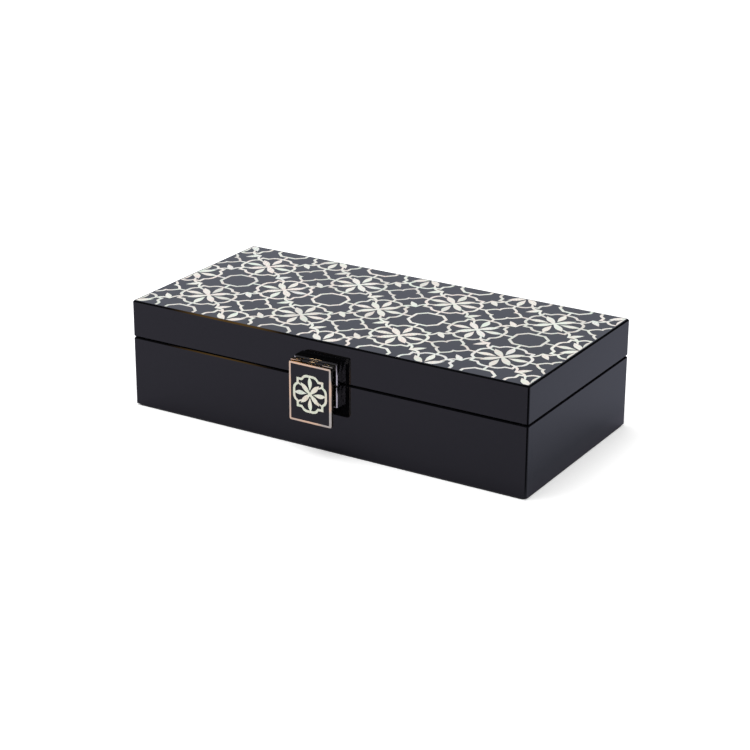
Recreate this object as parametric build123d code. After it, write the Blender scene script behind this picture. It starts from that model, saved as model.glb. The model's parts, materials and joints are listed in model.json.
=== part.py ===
from build123d import *
import os

# Jewellery box of black lacquered boards with a mother-of-pearl lattice let into its lid.
# Millimetres. +X runs along the front, -Y is the front, +Z is up.
# The origin is the centre of the underside.

# Box
box_length = 250.0
box_depth = 120.0
box_height = 63.0
split_height = 41.3       # middle of the gap between base and lid
split_gap = 0.3
corner_radius = 1.2       # of the upright corners
rim_chamfer = 0.7         # along the split
top_chamfer = 0.85        # round the top of the lid
base_wall = 9.0
bottom_thickness = 5.0
bottom_rebate = 4.0       # how far the bottom board runs under the walls
felt_thickness = 1.0
felt_inset = 0.6
top_thickness = 6.0

# Lining
lining_thickness = 1.5
lip_height = 3.5          # lining that stands above the base's rim and locates the lid
lip_clearance = 0.4
liner_clearance = 0.6     # between the lip and the lid's own lining
floor_pad_thickness = 3.0
ceiling_pad_thickness = 2.5
pad_clearance = 0.3

# Back hinges
hinge_inset = 40.0        # of each hinge's middle from the box's end
hinge_width = 30.0
hinge_leaf_thickness = 1.2
hinge_leaf_depth = 7.0    # of leaf let into the wall
hinge_barrel_radius = 2.2
hinge_pin_radius = 1.0
hinge_wall_clearance = 0.3
knuckle_gap = 0.25
pin_clearance = 0.05

# Latch
latch_width = 27.3
housing_depth = 4.5       # in front of the wall
housing_top = 53.9
housing_bottom = 28.7
housing_chamfer = 0.5
flap_height = 34.0
flap_top = 52.8
flap_thickness = 2.0
flap_gap = 3.5            # between the flap and its housing
flap_corner_radius = 1.2
flap_chamfer = 0.3
flap_border = 1.3
flap_inset = 0.25         # of the flap's sides from the housing's sides
flap_recess = 0.8
panel_thickness = 0.5
flap_pin_drop = 0.9       # of the pin's axis below the flap's top
flap_knuckle_clearance = 0.2
flap_pin_radius = 0.7
flap_knuckle_width = 13.4
flap_web_share = 0.8      # half height of a knuckle's web, as a share of its radius
keeper_width = 8.0
keeper_height = 7.0
keeper_air_gap = 0.25
magnet_width = 7.0
magnet_height = 5.0
magnet_depth = 2.6
magnet_clearance = 0.05
magnet_drop = 6.1         # of the middle of the magnet below the split

# Inlay
inlay_border = 1.5        # plain lacquer between the lattice and the lid's sides
shell_thickness = 0.35
lattice_x = 31.25         # from a medallion to the next octagon or star
lattice_y = 30.2
columns = 4               # lattice steps from the middle to each end
rows = 2
ring_reach = 15.6         # from a medallion's centre to the middle of its ring
ring_width = 1.35
octagon_reach = 9.3
octagon_flat = 4.8        # half of each flat that faces a stem
octagon_width = 1.35
star_reach = 11.0
star_step = 4.7           # place of the small square corner in a star's side
star_step_leg = 1.6
star_bulge = 0.45         # how far a star's side bows out between tip and step
star_width = 1.2
stem_width = 1.15
link_width = 1.2
link_bulge = 1.3          # how far a link bows out between its ring and its bend
link_elbow = 15.3         # place of a link's bend from the star's centre, in x and in y
leaf_length = 8.8
leaf_half_width = 1.55

# Rosette on the clasp
rosette_reach = 10.0
rosette_ring_width = 1.1
rosette_thickness = 0.25

# A medallion's outline as shares of its reach, for one quarter turn
lobe_half = 0.34          # half chord of a lobe
lobe_drop = 0.038         # how far a lobe's ends lie inside its middle
barb = 0.776              # place of the barb's corner and of the notches beside it
notch = 0.52
crossing = 0.54           # place on the ring where links meet it, beside a notch
petal_start = 0.24
petal_belly = 0.55        # widest place of a petal, as a share of its length
petal_half_width = 0.112
petal_end_half_width = 0.04
cross_petal_reach = 0.56  # tip of a diagonal petal, in x and in y
cross_petal_belly = 0.62  # widest place of a diagonal petal, as a share of the way to its tip
cross_petal_half_width = 0.118
cross_waist = 0.045

# Shares of a length where a bowed or leaf-shaped outline turns, and of a leaf's width
bow = 0.45
leaf_shoulder = 0.32
leaf_waist = 0.62
leaf_waist_width = 0.85

half_length = box_length / 2
half_depth = box_depth / 2
base_rim = split_height - split_gap / 2
lid_rim = split_height + split_gap / 2
lid_wall = base_wall - lip_clearance
ceiling = box_height - top_thickness
floor_level = felt_thickness + bottom_thickness
lip_top = base_rim + lip_height
front = -half_depth


def box_between(low, high):
    """Box from its lowest to its highest corner."""
    size = [b - a for a, b in zip(low, high)]
    return Pos(*low) * Box(*size, align=(Align.MIN, Align.MIN, Align.MIN))


def centred_box(length, depth, bottom, top):
    """Box centred on the origin in plan, between two heights."""
    return box_between((-length / 2, -depth / 2, bottom), (length / 2, depth / 2, top))


def rod(radius, centre, length):
    """Cylinder along X."""
    return Pos(*centre) * Rot(0, 90, 0) * Cylinder(radius, length)


def mitred(frame, wall):
    """The frame's four boards, cut at 45 degrees at the corners."""
    reach = wall + 1
    bottom, top = frame.bounding_box().min.Z - 1, frame.bounding_box().max.Z + 1
    boards = {}
    sides = (("front", half_length, half_depth), ("right", half_depth, half_length),
             ("back", half_length, half_depth), ("left", half_depth, half_length))
    for quarter, (name, half, across) in enumerate(sides):
        plan = Polyline((-half - 1, -across - 1), (half + 1, -across - 1),
                        (half - reach, -across + reach), (-half + reach, -across + reach), close=True)
        wedge = Pos(0, 0, bottom) * extrude(make_face(plan), amount=top - bottom)
        boards[name] = frame & (Rot(0, 0, 90 * quarter) * wedge)
    return boards


def lining(inner_length, inner_depth, bottom, top):
    """Four lining boards round the inside of a well: the long ones between the short ones."""
    x, y, t = inner_length / 2, inner_depth / 2, lining_thickness
    return {"front": box_between((-x + t, -y, bottom), (x - t, -y + t, top)),
            "back": box_between((-x + t, y - t, bottom), (x - t, y, top)),
            "left": box_between((-x, -y, bottom), (-x + t, y, top)),
            "right": box_between((x - t, -y, bottom), (x, y, top))}


# Base carcass
well_length = box_length - 2 * base_wall
well_depth = box_depth - 2 * base_wall
carcass = centred_box(box_length, box_depth, felt_thickness, base_rim)
carcass = fillet(carcass.edges().filter_by(Axis.Z), corner_radius)
carcass = chamfer(carcass.faces().sort_by(Axis.Z)[-1].edges(), rim_chamfer)
carcass -= centred_box(well_length, well_depth, 0, box_height)
rebate_length = well_length + 2 * bottom_rebate
rebate_depth = well_depth + 2 * bottom_rebate
carcass -= centred_box(rebate_length, rebate_depth, 0, floor_level)

# Lid carcass
lid_well_length = box_length - 2 * lid_wall
lid_well_depth = box_depth - 2 * lid_wall
lid_block = centred_box(box_length, box_depth, lid_rim, box_height)
lid_block = fillet(lid_block.edges().filter_by(Axis.Z), corner_radius)
lid_block = chamfer(lid_block.faces().sort_by(Axis.Z)[0].edges(), rim_chamfer)
lid_block = chamfer(lid_block.faces().sort_by(Axis.Z)[-1].edges(), top_chamfer)
top_board = lid_block & centred_box(box_length + 2, box_depth + 2, ceiling, box_height + 1)
lid_frame = lid_block & centred_box(box_length + 2, box_depth + 2, 0, ceiling)
lid_frame -= centred_box(lid_well_length, lid_well_depth, 0, box_height)

field_length = box_length - 2 * inlay_border
field_depth = box_depth - 2 * inlay_border
shell_bed = box_height - shell_thickness
top_board -= centred_box(field_length, field_depth, shell_bed, box_height + 1)

# Back hinges: each leaf lies flush in the rim that it is screwed to
hinge_axis_y = half_depth + hinge_wall_clearance + hinge_barrel_radius
hinge_leaf_end = half_depth - hinge_leaf_depth
knuckle = hinge_width / 3


def hinge_leaf(centre, level, side, spans):
    """Leaf with its knuckles; side is 1 for the lid's leaf, which lies above its level."""
    low, high = sorted((level, level + side * hinge_leaf_thickness))
    leaf = box_between((centre - hinge_width / 2, hinge_leaf_end, low),
                       (centre + hinge_width / 2, half_depth, high))
    for start, end in spans:
        x0 = centre + start + knuckle_gap / 2
        x1 = centre + end - knuckle_gap / 2
        leaf += box_between((x0, half_depth, low), (x1, hinge_axis_y, high))
        leaf += rod(hinge_barrel_radius, ((x0 + x1) / 2, hinge_axis_y, split_height), x1 - x0)
    leaf -= rod(hinge_pin_radius + pin_clearance, (centre, hinge_axis_y, split_height), hinge_width + 1)
    return leaf


def leaf_mortise(centre, level, side):
    """Pocket in a rim for a leaf, open to the rim and to the back."""
    low, high = sorted((level - side, level + side * hinge_leaf_thickness))
    return box_between((centre - hinge_width / 2, hinge_leaf_end, low),
                       (centre + hinge_width / 2, half_depth + 1, high))


outer_spans = [(-hinge_width / 2, -knuckle / 2), (knuckle / 2, hinge_width / 2)]
middle_span = [(-knuckle / 2, knuckle / 2)]
hinge_centres = [-half_length + hinge_inset, half_length - hinge_inset]
for centre in hinge_centres:
    carcass -= leaf_mortise(centre, base_rim, -1)
    lid_frame -= leaf_mortise(centre, lid_rim, 1)

parts = {}
for side, board in mitred(carcass, base_wall).items():
    parts[f"base_{side}_wall"] = board
for side, board in mitred(lid_frame, lid_wall).items():
    parts[f"lid_{side}_wall"] = board
parts["base_bottom_board"] = centred_box(rebate_length, rebate_depth, felt_thickness, floor_level)
parts["base_felt"] = centred_box(box_length - 2 * felt_inset, box_depth - 2 * felt_inset, 0, felt_thickness)
parts["lid_top_board"] = top_board

hinge_parts = {
    "hinge_base_leaves": [hinge_leaf(centre, base_rim, -1, outer_spans) for centre in hinge_centres],
    "hinge_lid_leaves": [hinge_leaf(centre, lid_rim, 1, middle_span) for centre in hinge_centres],
    "hinge_pins": [rod(hinge_pin_radius, (centre, hinge_axis_y, split_height), hinge_width)
                   for centre in hinge_centres],
}
for name, pieces in hinge_parts.items():
    parts[name] = Compound(children=[solid for piece in pieces for solid in piece.solids()])

# Lining of the base, and of the lid above the lip
for side, board in lining(well_length, well_depth, floor_level, lip_top).items():
    parts[f"lining_{side}"] = board
liner_bottom = lip_top + liner_clearance
for side, board in lining(lid_well_length, lid_well_depth, liner_bottom, ceiling).items():
    parts[f"lid_liner_{side}"] = board
pad_inset = 2 * (lining_thickness + pad_clearance)
parts["floor_pad"] = centred_box(well_length - pad_inset, well_depth - pad_inset,
                                 floor_level, floor_level + floor_pad_thickness)
parts["ceiling_pad"] = centred_box(lid_well_length - pad_inset, lid_well_depth - pad_inset,
                                   ceiling - ceiling_pad_thickness, ceiling)

# Latch housing: the upper half is the flap's hinge block, the lower half holds the magnet
housing_front = front - housing_depth
flap_back = housing_front - flap_gap
flap_front = flap_back - flap_thickness
flap_axis_y = housing_front - flap_gap / 2
flap_axis_z = flap_top - flap_pin_drop
flap_knuckle_radius = flap_gap / 2 - flap_knuckle_clearance
web_half = flap_knuckle_radius * flap_web_share


def housing(bottom, top):
    """Half of the latch housing, its front edges chamfered."""
    block = box_between((-latch_width / 2, housing_front, bottom), (latch_width / 2, front, top))
    return chamfer(block.faces().sort_by(Axis.Y)[0].edges(), housing_chamfer)


def flap_knuckle(x0, x1, reach_y):
    """Knuckle on the flap's axis with a web that reaches to what carries it."""
    low, high = sorted((flap_axis_y, reach_y))
    return (rod(flap_knuckle_radius, ((x0 + x1) / 2, flap_axis_y, flap_axis_z), x1 - x0)
            + box_between((x0, low, flap_axis_z - web_half), (x1, high, flap_axis_z + web_half)))


flap_bore = rod(flap_pin_radius + pin_clearance, (0, flap_axis_y, flap_axis_z), latch_width + 2)
magnet_z = split_height - magnet_drop


def magnet_block(clearance):
    """The magnet, or with a clearance the pocket that holds it, open to the front of its housing."""
    x, z = magnet_width / 2 + clearance, magnet_height / 2 + clearance
    return box_between((-x, housing_front, magnet_z - z),
                       (x, housing_front + magnet_depth + clearance, magnet_z + z))


hinge_block = housing(lid_rim, housing_top)
hinge_block += flap_knuckle(-flap_knuckle_width / 2, flap_knuckle_width / 2, housing_front + 1)
hinge_block -= flap_bore
catch_block = housing(housing_bottom, base_rim)
catch_block -= magnet_block(magnet_clearance)
parts["latch_hinge_block"] = hinge_block
parts["latch_catch_block"] = catch_block
parts["latch_magnet"] = magnet_block(0)

# Flap: a nickel tray that holds the lacquered panel, with the outer knuckles behind its top
flap_middle = flap_top - flap_height / 2
flap_half = latch_width / 2 - flap_inset
tray = box_between((-flap_half, flap_front, flap_top - flap_height), (flap_half, flap_back, flap_top))
tray = fillet(tray.edges().filter_by(Axis.Y), flap_corner_radius)
tray = chamfer(tray.faces().sort_by(Axis.Y)[0].edges(), flap_chamfer)
panel_length = 2 * (flap_half - flap_border)
panel_height = flap_height - 2 * flap_border
tray -= box_between((-panel_length / 2, flap_front - 1, flap_middle - panel_height / 2),
                    (panel_length / 2, flap_front + flap_recess, flap_middle + panel_height / 2))
outer_start = flap_knuckle_width / 2 + knuckle_gap
outer_end = flap_half - flap_chamfer
for x0, x1 in ((-outer_end, -outer_start), (outer_start, outer_end)):
    tray += flap_knuckle(x0, x1, flap_back - flap_chamfer)
tray -= flap_bore
parts["flap_tray"] = tray
panel_face = flap_front + flap_recess - panel_thickness
panel_back = panel_face + panel_thickness
parts["flap_panel"] = box_between((-panel_length / 2, panel_face, flap_middle - panel_height / 2),
                                  (panel_length / 2, panel_back, flap_middle + panel_height / 2))
parts["flap_hinge_pin"] = rod(flap_pin_radius, (0, flap_axis_y, flap_axis_z), 2 * outer_end)
keeper = box_between((-keeper_width / 2, flap_back, magnet_z - keeper_height / 2),
                     (keeper_width / 2, housing_front - keeper_air_gap, magnet_z + keeper_height / 2))
parts["flap_keeper"] = chamfer(keeper.faces().sort_by(Axis.Y)[-1].edges(), housing_chamfer)


# Inlay outlines. A point in the plane is a complex number, x + y * 1j.
def unit(step):
    """Direction of a step."""
    return step / abs(step)


def outline(points):
    """Closed wire through the points."""
    return Wire.make_polygon([(p.real, p.imag) for p in points], close=True)


def facing_up(shape):
    """The shape's one face with its normal along +Z, so that faces can be joined."""
    face = shape.face()
    return face if face.normal_at().Z > 0 else -face


def mitres(spine, width, closed):
    """Offsets from the spine's points to its left edge, mitred at the corners."""
    first = spine[-1] if closed else 2 * spine[0] - spine[1]
    last = spine[0] if closed else 2 * spine[-1] - spine[-2]
    path = [first, *spine, last]
    result = []
    for before, here, after in zip(path, path[1:], path[2:]):
        leaving = unit(after - here)
        along = unit(unit(here - before) + leaving)
        result.append(1j * along * width / 2 / (along * leaving.conjugate()).real)
    return result


def band(spine, width):
    """Open band of one width along a spine."""
    side = mitres(spine, width, False)
    left = [p + s for p, s in zip(spine, side)]
    right = [p - s for p, s in zip(spine, side)]
    return facing_up(Face(outline(left + right[::-1])))


def loop(quarter, width):
    """Closed band: the quarter's points are turned round the centre four times."""
    spine = [p * 1j ** turn for turn in range(4) for p in quarter]
    side = mitres(spine, width, True)
    outer = outline([p - s for p, s in zip(spine, side)])
    inner = outline([p + s for p, s in zip(spine, side)])
    return facing_up(Face(outer, [inner]))


def bowed(start, end, height):
    """Point beside the line from start to end, at the height of a bow to its left."""
    return start + (end - start) * bow + 1j * unit(end - start) * height


def swap(point):
    """Mirror image of a point in the diagonal."""
    return complex(point.imag, point.real)


def ring(reach, width):
    """Barbed quatrefoil ring of a medallion."""
    lobe = [complex(reach, 0),
            complex(reach * (1 - lobe_drop), reach * lobe_half),
            complex(reach * barb, reach * notch)]
    corner = complex(reach * barb, reach * barb)
    return loop([*lobe, corner, *map(swap, lobe[:0:-1])], width)


def octagon():
    """Octagon whose long flats face the stems."""
    corner = complex(octagon_reach, octagon_flat)
    return loop([corner, swap(corner)], octagon_width)


def star():
    """Four-pointed star with a small square corner in the middle of each side."""
    foot = complex(star_step + star_step_leg, star_step)
    tip = complex(star_reach, 0)
    side = [tip, bowed(tip, foot, -star_bulge), foot]
    return loop([*side, complex(star_step, star_step), *map(swap, side[:0:-1])], star_width)


def petal(stations, reach):
    """Outline of a petal along X: stations are (distance from the centre, half width)."""
    upper = [complex(x, reach * half) for x, half in stations]
    return [p.conjugate() for p in upper[:-1]] + upper[:0:-1]


def axis_petals(reach, ring_face):
    """Four petals on the axes, from near the centre to the ring."""
    start, end = reach * petal_start, reach
    belly = start + (end - start) * petal_belly
    shape = petal([(start, 0), (belly, petal_half_width), (end, petal_end_half_width)], reach)
    return [trimmed(Face(outline([p * 1j ** turn for p in shape])), ring_face) for turn in range(4)]


def cross(reach):
    """Four diagonal petals, joined at the centre."""
    tip = reach * cross_petal_reach * abs(1 + 1j)
    waist = complex(reach * cross_waist, reach * cross_waist)
    belly = complex(tip * cross_petal_belly, reach * cross_petal_half_width)
    arm = [belly.conjugate(), complex(tip, 0), belly, waist]
    return facing_up(Face(outline([p * unit(1 + 1j) * 1j ** turn for turn in range(4) for p in arm])))


def four_ways(face):
    """The face and its mirror images in both axes."""
    pair = [face, mirror(face, Plane.YZ)]
    return [facing_up(each) for each in pair + [mirror(each, Plane.XZ) for each in pair]]


def trimmed(face, *cutters):
    """What a face keeps beside the faces that it butts against."""
    for cutter in cutters:
        face = (Sketch() + face - cutter).faces().sort_by(SortBy.AREA)[-1]
    return face


def rectangle(x0, x1, width):
    """Strip along X between two distances."""
    return Pos((x0 + x1) / 2, 0) * Rectangle(x1 - x0, width).face()


# Lattice
lattice = [(i, j) for i in range(-columns, columns + 1) for j in range(-rows, rows + 1)]


def places(i_odd, j_odd):
    """Lattice points with the given oddness in each direction."""
    return [(i * lattice_x, j * lattice_y) for i, j in lattice if (i % 2, j % 2) == (i_odd, j_odd)]


upright, turned = places(0, 0), places(1, 1)
octagons, stars = places(1, 0), places(0, 1)
field = centred_box(field_length, field_depth, shell_bed, box_height)


def laid(faces, centres):
    """Shell pieces of one outline set at each centre, cut off at the lattice's border."""
    pieces = []
    for face in faces:
        shell = extrude(face, amount=shell_thickness, dir=(0, 0, 1))
        box = shell.bounding_box()
        for x, y in centres:
            beyond_x = max(x + box.max.X, -x - box.min.X) - field_length / 2
            beyond_y = max(y + box.max.Y, -y - box.min.Y) - field_depth / 2
            placed = Pos(x, y, shell_bed) * shell
            if max(beyond_x, beyond_y) <= 0:
                pieces += placed.solids()
            elif beyond_x < box.size.X and beyond_y < box.size.Y:
                cut = placed & field
                pieces += cut.solids() if cut else []
    return pieces


quarter_turn = Rot(0, 0, 90)
ring_face = ring(ring_reach, ring_width)
cross_face = trimmed(cross(ring_reach), ring_face)
star_face, octagon_face = star(), octagon()
next_ring = Pos(lattice_x, lattice_y) * ring_face

ring_edge = ring_reach + ring_width / 2
octagon_edge = octagon_reach + octagon_width / 2
stems = {}
steps = (("upright", 0, lattice_x, lattice_y), ("turned", 90, lattice_y, lattice_x))
for name, turn, to_octagon, to_star in steps:
    octagon_stem = rectangle(ring_edge, to_octagon - octagon_edge, stem_width)
    star_stem = rectangle(ring_edge, to_star - star_reach, stem_width)
    star_stem = trimmed(star_stem, Pos(to_star, 0) * star_face)
    stems[name] = [Rot(0, 0, turn + half) * octagon_stem for half in (0, 180)]
    stems[name] += [Rot(0, 0, turn + half) * star_stem for half in (90, 270)]

link_start = complex(ring_reach * crossing, ring_reach * barb)
link_bend = complex(link_elbow, lattice_y - link_elbow)
link_end = complex(lattice_x, lattice_y) - swap(link_start)
link_bow = bowed(link_start, link_bend, link_bulge)
link_spine = [link_start, link_bow, link_bend, complex(lattice_x, lattice_y) - swap(link_bow), link_end]
link = trimmed(band(link_spine, link_width), ring_face, next_ring)
leaf_shape = petal([(0, 0), (leaf_length * leaf_shoulder, leaf_half_width),
                    (leaf_length * leaf_waist, leaf_half_width * leaf_waist_width), (leaf_length, 0)], 1)
leaf = facing_up(Face(outline([link_bend + p * unit(-1 + 1j) for p in leaf_shape])))
leafed_link = (Sketch() + link + leaf).face()

shells = {
    "inlay_rings": laid([ring_face], upright + turned),
    "inlay_petals": laid(axis_petals(ring_reach, ring_face), upright + turned),
    "inlay_crosses": laid([cross_face], upright) + laid([quarter_turn * cross_face], turned),
    "inlay_octagons": laid([octagon_face], octagons),
    "inlay_stars": laid([star_face], stars),
    "inlay_stems": laid(stems["upright"], upright) + laid(stems["turned"], turned),
    "inlay_links": laid(four_ways(leafed_link), upright),
}
for name, pieces in shells.items():
    parts[name] = Compound(children=pieces)

# Rosette on the flap's panel: the same medallion, smaller
panel_plane = Plane(origin=(0, panel_face, flap_middle), x_dir=(1, 0, 0), z_dir=(0, -1, 0))
rosette_ring = ring(rosette_reach, rosette_ring_width)
rosette_cross = trimmed(cross(rosette_reach), rosette_ring)
rosette = {
    "flap_rosette_ring": [rosette_ring],
    "flap_rosette_petals": axis_petals(rosette_reach, rosette_ring),
    "flap_rosette_cross": [quarter_turn * rosette_cross],
}
for name, faces in rosette.items():
    pieces = [extrude(face, amount=rosette_thickness, dir=(0, 0, 1)) for face in faces]
    placed = [panel_plane.location * piece for piece in pieces]
    parts[name] = Compound(children=[solid for piece in placed for solid in piece.solids()])

os.makedirs("parts", exist_ok=True)
for name, shape in parts.items():
    export_step(shape, f"parts/{name}.step")
print(len(parts), "nodes")
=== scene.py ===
# %% [markdown]
# # A lacquered box with a mother-of-pearl lid
#
# This lesson dresses a finished box for a picture. The boards, hinges, clasp and shell pieces come in as
# a fixed frame of measured parts. Here they get their finishes, and the soft, small and hand-made
# things that such a box also has are modelled around them.

# %% Load the frame
import json
import math
import random

import bmesh
import bpy
from mathutils import Matrix, Vector

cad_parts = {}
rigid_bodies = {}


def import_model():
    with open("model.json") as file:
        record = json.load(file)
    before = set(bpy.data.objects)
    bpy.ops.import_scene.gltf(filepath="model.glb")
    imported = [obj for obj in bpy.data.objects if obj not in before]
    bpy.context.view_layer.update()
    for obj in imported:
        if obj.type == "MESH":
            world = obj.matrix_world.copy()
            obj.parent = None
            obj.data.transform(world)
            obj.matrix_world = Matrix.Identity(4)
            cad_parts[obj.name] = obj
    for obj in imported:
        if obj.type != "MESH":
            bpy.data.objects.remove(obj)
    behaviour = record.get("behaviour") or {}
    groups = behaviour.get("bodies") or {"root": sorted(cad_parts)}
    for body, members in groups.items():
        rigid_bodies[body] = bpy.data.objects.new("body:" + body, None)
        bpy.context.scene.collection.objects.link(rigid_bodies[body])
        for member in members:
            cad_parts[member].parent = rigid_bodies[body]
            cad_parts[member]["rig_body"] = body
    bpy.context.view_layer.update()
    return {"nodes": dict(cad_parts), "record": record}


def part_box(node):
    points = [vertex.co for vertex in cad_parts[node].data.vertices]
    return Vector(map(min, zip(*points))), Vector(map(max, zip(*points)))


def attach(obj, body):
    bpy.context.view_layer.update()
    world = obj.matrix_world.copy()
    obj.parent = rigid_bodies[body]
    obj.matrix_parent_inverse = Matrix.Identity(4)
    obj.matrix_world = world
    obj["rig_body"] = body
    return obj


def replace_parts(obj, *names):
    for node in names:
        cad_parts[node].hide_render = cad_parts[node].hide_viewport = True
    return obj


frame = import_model()
nodes = frame["nodes"]
for material in bpy.data.materials:
    material.name = f"packed_{material.name}"       # leaves the plain names free for the finishes below

# %% [markdown]
# ## Camera
#
# A product photograph like this one is taken from a little above with a long lens, so that the edges
# of the box stay nearly parallel. The camera could be placed by eye, but its direction, distance and
# lens were worked out from the box's corners, so they are written as numbers. A camera looks along
# its own -Z, so its axes are built from the direction that points back from the box to the lens.

# %% Camera at the photograph's angle
MM = 0.001
CAMERA_AZIMUTH = math.radians(31.19)
CAMERA_ELEVATION = math.radians(21.19)
CAMERA_ROLL = math.radians(0.265)
CAMERA_DISTANCE = 1156.3 * MM
CAMERA_RIGHT = -1.65 * MM       # the point looked at, from the origin, in the picture's plane
CAMERA_UP = 22.26 * MM
CAMERA_LENS = 98.15             # millimetres, on a sensor 36 mm wide

backward = Vector((math.sin(CAMERA_AZIMUTH) * math.cos(CAMERA_ELEVATION),
                   -math.cos(CAMERA_AZIMUTH) * math.cos(CAMERA_ELEVATION),
                   math.sin(CAMERA_ELEVATION)))
level_right = Vector((math.cos(CAMERA_AZIMUTH), math.sin(CAMERA_AZIMUTH), 0))
level_up = level_right.cross(-backward)
right = math.cos(CAMERA_ROLL) * level_right + math.sin(CAMERA_ROLL) * level_up
up = math.cos(CAMERA_ROLL) * level_up - math.sin(CAMERA_ROLL) * level_right
place = CAMERA_RIGHT * level_right + CAMERA_UP * level_up + CAMERA_DISTANCE * backward

camera_data = bpy.data.cameras.new("photo_camera")
camera_data.sensor_width = 36
camera_data.lens = CAMERA_LENS
camera = bpy.data.objects.new("photo_camera", camera_data)
bpy.context.scene.collection.objects.link(camera)
camera.matrix_world = Matrix.Translation(place) @ Matrix((right, up, backward)).transposed().to_4x4()
bpy.context.scene.camera = camera
print("camera at", [round(v, 3) for v in place])

# %% [markdown]
# ## Node tools
#
# Every finish below is a small graph of shader nodes. Written out in full, such graphs are long, so
# five helpers do the typing. One adds a node with its settings, one starts a material and hands back
# its Principled BSDF, one makes a colour ramp, and two make a node group and place it in a material.

# %% Helpers for materials
def add(tree, kind, inputs=None, **settings):
    """Adds a node, sets its properties and then its input values."""
    node = tree.nodes.new(kind)
    for name, value in settings.items():
        setattr(node, name, value)
    for name, value in (inputs or {}).items():
        node.inputs[name].default_value = value
    return node


def start_material(name, **values):
    """Makes a material and gives back its tree and its Principled BSDF, with values on the shader."""
    material = bpy.data.materials.new(name)
    material.use_nodes = True
    tree = material.node_tree
    shader = tree.nodes["Principled BSDF"]
    for socket, value in values.items():
        shader.inputs[socket.replace("_", " ")].default_value = value
    return material, tree, shader


def ramp(tree, factor, *stops):
    """Colour ramp from (place, colour) pairs."""
    node = add(tree, "ShaderNodeValToRGB")
    elements = node.color_ramp.elements
    while len(elements) < len(stops):
        elements.new(0.5)
    for element, (place_on_ramp, colour) in zip(elements, stops):
        element.position = place_on_ramp
        element.color = (*colour, 1)
    tree.links.new(factor, node.inputs["Fac"])
    return node.outputs["Color"]


def start_group(name, inputs, outputs):
    """Makes a shader node group with named sockets: inputs are (name, kind, value)."""
    group = bpy.data.node_groups.new(name, "ShaderNodeTree")
    for label, kind, value in inputs:
        socket = group.interface.new_socket(label, in_out="INPUT", socket_type=kind)
        socket.default_value = value
    for label, kind in outputs:
        group.interface.new_socket(label, in_out="OUTPUT", socket_type=kind)
    return group, add(group, "NodeGroupInput"), add(group, "NodeGroupOutput")


def use_group(tree, group, **values):
    """Places a group in a material, with its own values."""
    node = add(tree, "ShaderNodeGroup", node_tree=group)
    for socket, value in values.items():
        node.inputs[socket.replace("_", " ")].default_value = value
    return node

# %% [markdown]
# ## Polish marks, shared by every hard finish
#
# Nothing that has been polished is perfectly even. Lacquer keeps a faint waviness from the brush and
# the rubbing block, and metal keeps hairlines. Both could be painted as an image, but noise needs no
# image and never repeats. Seven finishes use the effect, so it is a node group: it puts out a height
# for a Bump node, a mask for the roughness and the waves alone, and each material sets its own scale.

# %% Group: polish marks
HAIRLINE_SHARE = 0.12           # of the waves' height

polish, entry, leaving = start_group(
    "polish_marks",
    [("Wave Scale", "NodeSocketFloat", 60.0), ("Hairline Scale", "NodeSocketFloat", 900.0),
     ("Hairline Stretch", "NodeSocketVector", (1.0, 0.06, 1.0))],
    [("Height", "NodeSocketFloat"), ("Mask", "NodeSocketFloat"), ("Waves", "NodeSocketFloat")])
coordinates = add(polish, "ShaderNodeTexCoord")
waves = add(polish, "ShaderNodeTexNoise", {"Detail": 2.0, "Roughness": 0.4})
stretch = add(polish, "ShaderNodeVectorMath", operation="MULTIPLY")
hairlines = add(polish, "ShaderNodeTexNoise", {"Detail": 3.0, "Roughness": 0.6})
share = add(polish, "ShaderNodeMath", {1: HAIRLINE_SHARE}, operation="MULTIPLY")
total = add(polish, "ShaderNodeMath", operation="ADD")
for start, end in ((coordinates.outputs["Object"], waves.inputs["Vector"]),
                   (entry.outputs["Wave Scale"], waves.inputs["Scale"]),
                   (coordinates.outputs["Object"], stretch.inputs[0]),
                   (entry.outputs["Hairline Stretch"], stretch.inputs[1]),
                   (stretch.outputs["Vector"], hairlines.inputs["Vector"]),
                   (entry.outputs["Hairline Scale"], hairlines.inputs["Scale"]),
                   (hairlines.outputs["Fac"], share.inputs[0]),
                   (waves.outputs["Fac"], total.inputs[0]),
                   (share.outputs["Value"], total.inputs[1]),
                   (total.outputs["Value"], leaving.inputs["Height"]),
                   (hairlines.outputs["Fac"], leaving.inputs["Mask"]),
                   (waves.outputs["Fac"], leaving.inputs["Waves"])):
    polish.links.new(start, end)
print("polish marks:", len(polish.nodes), "nodes")

# %% [markdown]
# ## Fibre nap, shared by the felt and the suede
#
# Felt and suede are both a mat of short fibres that lie in patches, lighter where the pile leans
# towards the eye. Hair particles would be far too heavy for a jewellery box. A fine noise gives the
# fibres and a slow one the brushed patches, and the group hands out both.

# %% Group: fibre nap
nap, entry, leaving = start_group(
    "fibre_nap",
    [("Fibre Scale", "NodeSocketFloat", 2200.0), ("Patch Scale", "NodeSocketFloat", 35.0)],
    [("Fibres", "NodeSocketFloat"), ("Patches", "NodeSocketFloat")])
coordinates = add(nap, "ShaderNodeTexCoord")
fibres = add(nap, "ShaderNodeTexNoise", {"Detail": 4.0, "Roughness": 0.7, "Distortion": 1.2})
patches = add(nap, "ShaderNodeTexNoise", {"Detail": 3.0, "Roughness": 0.55, "Distortion": 0.6})
for start, end in ((coordinates.outputs["Object"], fibres.inputs["Vector"]),
                   (entry.outputs["Fibre Scale"], fibres.inputs["Scale"]),
                   (coordinates.outputs["Object"], patches.inputs["Vector"]),
                   (entry.outputs["Patch Scale"], patches.inputs["Scale"]),
                   (fibres.outputs["Fac"], leaving.inputs["Fibres"]),
                   (patches.outputs["Fac"], leaving.inputs["Patches"])):
    nap.links.new(start, end)
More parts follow.
